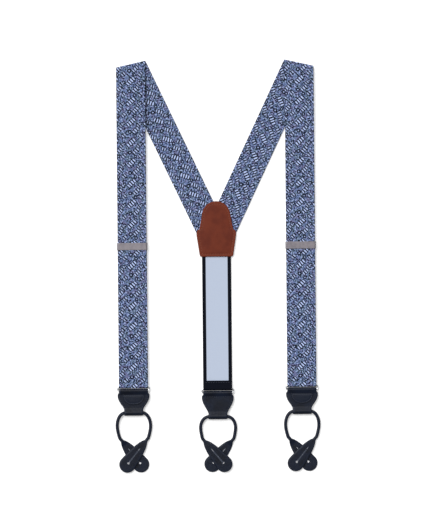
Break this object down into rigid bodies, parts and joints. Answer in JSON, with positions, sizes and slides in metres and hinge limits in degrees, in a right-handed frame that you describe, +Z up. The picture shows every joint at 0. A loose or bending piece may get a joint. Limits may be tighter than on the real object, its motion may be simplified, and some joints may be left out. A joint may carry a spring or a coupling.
{
  "type": "suspenders",
  "caption": "Y-back dress braces with cloth straps, elastic back, leather patch, sliding adjusters and leather button fittings, laid flat.",
  "frame": {"origin": "on the table under the middle of the laid-out braces", "axes": "+X across to the right front strap, +Y up to the shoulders, +Z up from the table"},
  "size_m": [0.247, 0.497, 0.0072],
  "materials": {
    "strap_cloth": "woven figured cloth with a small dashed print in blues",
    "elastic_web": "ribbed woven elastic, pale blue face with navy borders",
    "patch_leather": "cognac leather, smooth, stitched near the edge",
    "navy_leather": "dark navy leather with a soft sheen",
    "ring_steel": "bright nickel plated wire",
    "adjuster_steel": "satin grey plated steel"
  },
  "bodies": {
    "back": {"patch_outer": "patch_leather", "patch_inner": "patch_leather", "left_back_strap": "strap_cloth", "right_back_strap": "strap_cloth", "left_shoulder_fold": "strap_cloth", "right_shoulder_fold": "strap_cloth", "elastic": "elastic_web"},
    "left_front": {"left_front_strap": "strap_cloth"},
    "left_strap_end": {"left_front_strap_lower": "strap_cloth", "left_ring_turn": "strap_cloth", "left_strap_return": "strap_cloth"},
    "left_adjuster": {"left_adjuster_frame": "adjuster_steel", "left_lever_pin": "adjuster_steel", "left_strap_end_bar": "adjuster_steel", "left_strap_end_loop": "strap_cloth"},
    "left_lever": {"left_adjuster_lever": "adjuster_steel"},
    "left_ring": {"left_ring": "ring_steel"},
    "left_crown": {"left_crown_outer": "navy_leather", "left_crown_inner": "navy_leather", "left_crown_tongue": "navy_leather"},
    "left_loop": {"left_loop_cord": "navy_leather"},
    "left_upper_leaf": {"left_upper_leaf": "navy_leather"},
    "left_lower_leaf": {"left_lower_leaf": "navy_leather"},
    "right_front": {"right_front_strap": "strap_cloth"},
    "right_strap_end": {"right_front_strap_lower": "strap_cloth", "right_ring_turn": "strap_cloth", "right_strap_return": "strap_cloth"},
    "right_adjuster": {"right_adjuster_frame": "adjuster_steel", "right_lever_pin": "adjuster_steel", "right_strap_end_bar": "adjuster_steel", "right_strap_end_loop": "strap_cloth"},
    "right_lever": {"right_adjuster_lever": "adjuster_steel"},
    "right_ring": {"right_ring": "ring_steel"},
    "right_crown": {"right_crown_outer": "navy_leather", "right_crown_inner": "navy_leather", "right_crown_tongue": "navy_leather"},
    "right_loop": {"right_loop_cord": "navy_leather"},
    "right_upper_leaf": {"right_upper_leaf": "navy_leather"},
    "right_lower_leaf": {"right_lower_leaf": "navy_leather"},
    "back_end": {"elastic_end": "elastic_web"},
    "back_ring": {"back_ring": "ring_steel"},
    "back_crown": {"back_crown_outer": "navy_leather", "back_crown_inner": "navy_leather", "back_crown_tongue": "navy_leather"},
    "back_loop": {"back_loop_cord": "navy_leather"},
    "back_upper_leaf": {"back_upper_leaf": "navy_leather"},
    "back_lower_leaf": {"back_lower_leaf": "navy_leather"}
  },
  "joints": [
    {"name": "left_shoulder_unfold", "type": "hinge", "parent": "back", "child": "left_front", "pos_m": [-0.1015, 0.24208, 0.0036], "axis": [-0.9757, -0.219, 0], "range_deg": [0, 175], "deforming": ["left_shoulder_fold"]},
    {"name": "left_strap_length", "type": "slide", "parent": "left_front", "child": "left_strap_end", "axis": [0, -1, 0], "range_m": [-0.05, 0.045], "deforming": ["left_front_strap_lower", "left_strap_return"]},
    {"name": "left_adjuster_slide", "type": "slide", "parent": "left_strap_end", "child": "left_adjuster", "axis": [0, -1, 0], "range_m": [-0.05, 0.045]},
    {"name": "left_lever_open", "type": "hinge", "parent": "left_adjuster", "child": "left_lever", "pos_m": [-0.1015, 0.02648, 0.0031], "axis": [-1, 0, 0], "range_deg": [0, 100]},
    {"name": "left_ring_swing", "type": "hinge", "parent": "left_strap_end", "child": "left_ring", "pos_m": [-0.1015, -0.14422, 0.0036], "axis": [-1, 0, 0], "range_deg": [-80, 80]},
    {"name": "left_crown_swing", "type": "hinge", "parent": "left_ring", "child": "left_crown", "pos_m": [-0.1015, -0.14962, 0.0036], "axis": [-1, 0, 0], "range_deg": [-50, 50]},
    {"name": "left_loop_swing", "type": "hinge", "parent": "left_crown", "child": "left_loop", "pos_m": [-0.1015, -0.17592, 0.0036], "axis": [-1, 0, 0], "range_deg": [-45, 45]},
    {"name": "left_upper_leaf_spread", "type": "hinge", "parent": "left_loop", "child": "left_upper_leaf", "pos_m": [-0.0873, -0.21012, 0.0023], "axis": [0, 0, 1], "range_deg": [-5, 60]},
    {"name": "left_lower_leaf_spread", "type": "hinge", "parent": "left_loop", "child": "left_lower_leaf", "pos_m": [-0.1157, -0.21012, 0], "axis": [0, 0, -1], "range_deg": [-5, 60]},
    {"name": "right_shoulder_unfold", "type": "hinge", "parent": "back", "child": "right_front", "pos_m": [0.1015, 0.24208, 0.0036], "axis": [-0.9757, 0.219, 0], "range_deg": [0, 175], "deforming": ["right_shoulder_fold"]},
    {"name": "right_strap_length", "type": "slide", "parent": "right_front", "child": "right_strap_end", "axis": [0, -1, 0], "range_m": [-0.05, 0.045], "deforming": ["right_front_strap_lower", "right_strap_return"]},
    {"name": "right_adjuster_slide", "type": "slide", "parent": "right_strap_end", "child": "right_adjuster", "axis": [0, -1, 0], "range_m": [-0.05, 0.045]},
    {"name": "right_lever_open", "type": "hinge", "parent": "right_adjuster", "child": "right_lever", "pos_m": [0.1015, 0.02648, 0.0031], "axis": [-1, 0, 0], "range_deg": [0, 100]},
    {"name": "right_ring_swing", "type": "hinge", "parent": "right_strap_end", "child": "right_ring", "pos_m": [0.1015, -0.14422, 0.0036], "axis": [-1, 0, 0], "range_deg": [-80, 80]},
    {"name": "right_crown_swing", "type": "hinge", "parent": "right_ring", "child": "right_crown", "pos_m": [0.1015, -0.14962, 0.0036], "axis": [-1, 0, 0], "range_deg": [-50, 50]},
    {"name": "right_loop_swing", "type": "hinge", "parent": "right_crown", "child": "right_loop", "pos_m": [0.1015, -0.17592, 0.0036], "axis": [-1, 0, 0], "range_deg": [-45, 45]},
    {"name": "right_upper_leaf_spread", "type": "hinge", "parent": "right_loop", "child": "right_upper_leaf", "pos_m": [0.1157, -0.21012, 0.0023], "axis": [0, 0, 1], "range_deg": [-5, 60]},
    {"name": "right_lower_leaf_spread", "type": "hinge", "parent": "right_loop", "child": "right_lower_leaf", "pos_m": [0.0873, -0.21012, 0], "axis": [0, 0, -1], "range_deg": [-5, 60]},
    {"name": "elastic_stretch", "type": "slide", "parent": "back", "child": "back_end", "axis": [0, -1, 0], "range_m": [0, 0.06], "stiffness_N_per_m": 200, "deforming": ["elastic"]},
    {"name": "back_ring_swing", "type": "hinge", "parent": "back_end", "child": "back_ring", "pos_m": [0, -0.14752, 0.0036], "axis": [-1, 0, 0], "range_deg": [-80, 80]},
    {"name": "back_crown_swing", "type": "hinge", "parent": "back_ring", "child": "back_crown", "pos_m": [0, -0.15292, 0.0036], "axis": [-1, 0, 0], "range_deg": [-50, 50]},
    {"name": "back_loop_swing", "type": "hinge", "parent": "back_crown", "child": "back_loop", "pos_m": [0, -0.18122, 0.0036], "axis": [-1, 0, 0], "range_deg": [-45, 45]},
    {"name": "back_upper_leaf_spread", "type": "hinge", "parent": "back_loop", "child": "back_upper_leaf", "pos_m": [-0.0162, -0.21122, 0.0023], "axis": [0, 0, -1], "range_deg": [-5, 60]},
    {"name": "back_lower_leaf_spread", "type": "hinge", "parent": "back_loop", "child": "back_lower_leaf", "pos_m": [0.0162, -0.21122, 0], "axis": [0, 0, 1], "range_deg": [-5, 60]}
  ],
  "couplings": [
    {"joint": "left_adjuster_slide", "follows": "left_strap_length", "ratio": 1},
    {"joint": "right_adjuster_slide", "follows": "right_strap_length", "ratio": 1}
  ]
}
